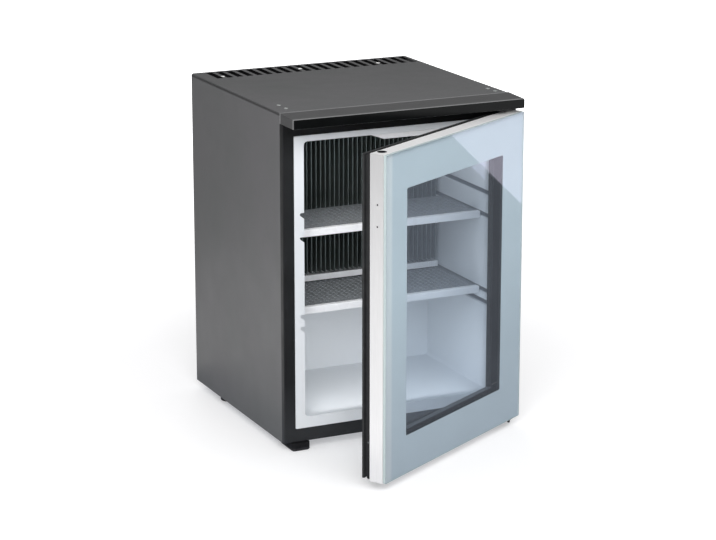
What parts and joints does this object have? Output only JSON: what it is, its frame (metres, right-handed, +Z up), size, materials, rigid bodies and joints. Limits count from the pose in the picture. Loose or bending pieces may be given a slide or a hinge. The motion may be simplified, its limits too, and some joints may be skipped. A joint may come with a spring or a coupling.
{
  "type": "minibar fridge",
  "caption": "Free-standing absorption minibar fridge with a hinged glazed door, sliding perforated shelves, vented top and open rear cooling unit.",
  "frame": {"origin": "middle of the base plate's underside, left to right and front to back", "axes": "+Z up, the door faces -Y, +X to the right of someone facing the door"},
  "size_m": [0.4081, 0.6159, 0.55],
  "materials": {
    "painted_sheet": "satin powder coat, dark grey",
    "galvanised": "galvanised sheet",
    "black_moulding": "satin black moulding",
    "gloss_black": "polished black",
    "white_liner": "vacuum-formed white, soft gloss",
    "white_trim": "moulded white, soft gloss",
    "frosted_lens": "frosted",
    "foam": "rigid foam",
    "rubber_foot": "matte black",
    "grey_shelf": "grey powder coat, perforated",
    "fin_aluminium": "extruded",
    "door_aluminium": "satin anodised",
    "clear_glass": "clear float glass",
    "blue_grey_print": "pale blue-grey print behind glass",
    "grey_gasket": "soft grey gasket",
    "zinc_steel": "zinc plated",
    "black_steel": "black paint",
    "white_bush": "moulded",
    "unit_black": "black paint over steel tube"
  },
  "bodies": {
    "cabinet": {"side_panel_left": "painted_sheet", "side_panel_right": "painted_sheet", "top_panel": "painted_sheet", "top_cap": "painted_sheet", "cap_front_strip": "gloss_black", "front_frame": "black_moulding", "inner_liner": "white_liner", "insulation_foam": "foam", "evaporator_plug": "galvanised", "back_plate": "galvanised", "base_plate": "galvanised", "foot_front_left": "rubber_foot", "foot_front_right": "rubber_foot", "foot_rear_left": "rubber_foot", "foot_rear_right": "rubber_foot", "lamp_housing": "white_trim", "lamp_lens": "frosted_lens", "evaporator_fins": "fin_aluminium", "drip_gutter": "white_trim", "hinge_bracket_lower": "black_steel", "hinge_bracket_upper": "black_steel", "hinge_pin_lower": "zinc_steel", "hinge_pin_upper": "zinc_steel", "unit_bracket_lower": "galvanised", "unit_bracket_upper": "galvanised", "absorber_vessel": "unit_black", "absorber_coil": "unit_black", "heat_exchanger_pipe": "unit_black", "boiler_jacket": "galvanised", "condenser": "unit_black", "vapour_pipe": "unit_black", "liquid_pipe": "unit_black", "control_box": "black_moulding", "cord_gland": "black_moulding"},
    "door": {"door_rail_latch": "door_aluminium", "door_rail_hinge": "door_aluminium", "door_rail_bottom": "door_aluminium", "door_rail_top": "door_aluminium", "door_glass_outer": "clear_glass", "door_printed_border": "blue_grey_print", "door_glass_spacer": "black_moulding", "door_glass_inner": "clear_glass", "door_inner_frame": "black_moulding", "door_gasket": "grey_gasket", "hinge_bush_lower": "white_bush", "hinge_bush_upper": "white_bush", "spare_hole_plug_lower": "black_moulding", "spare_hole_plug_upper": "black_moulding"},
    "shelf_upper": {"shelf_upper_tray": "grey_shelf", "shelf_upper_trim": "white_trim"},
    "shelf_lower": {"shelf_lower_tray": "grey_shelf", "shelf_lower_trim": "white_trim"}
  },
  "joints": [
    {"name": "door_hinge", "type": "hinge", "parent": "cabinet", "child": "door", "pos_m": [0.1822, -0.193, 0.25], "axis": [0, 0, 1], "range_deg": [-30.5, 79.5]},
    {"name": "shelf_upper_slide", "type": "slide", "parent": "cabinet", "child": "shelf_upper", "axis": [0, -1, 0], "range_m": [0, 0.04]},
    {"name": "shelf_lower_slide", "type": "slide", "parent": "cabinet", "child": "shelf_lower", "axis": [0, -1, 0], "range_m": [0, 0.04]}
  ]
}
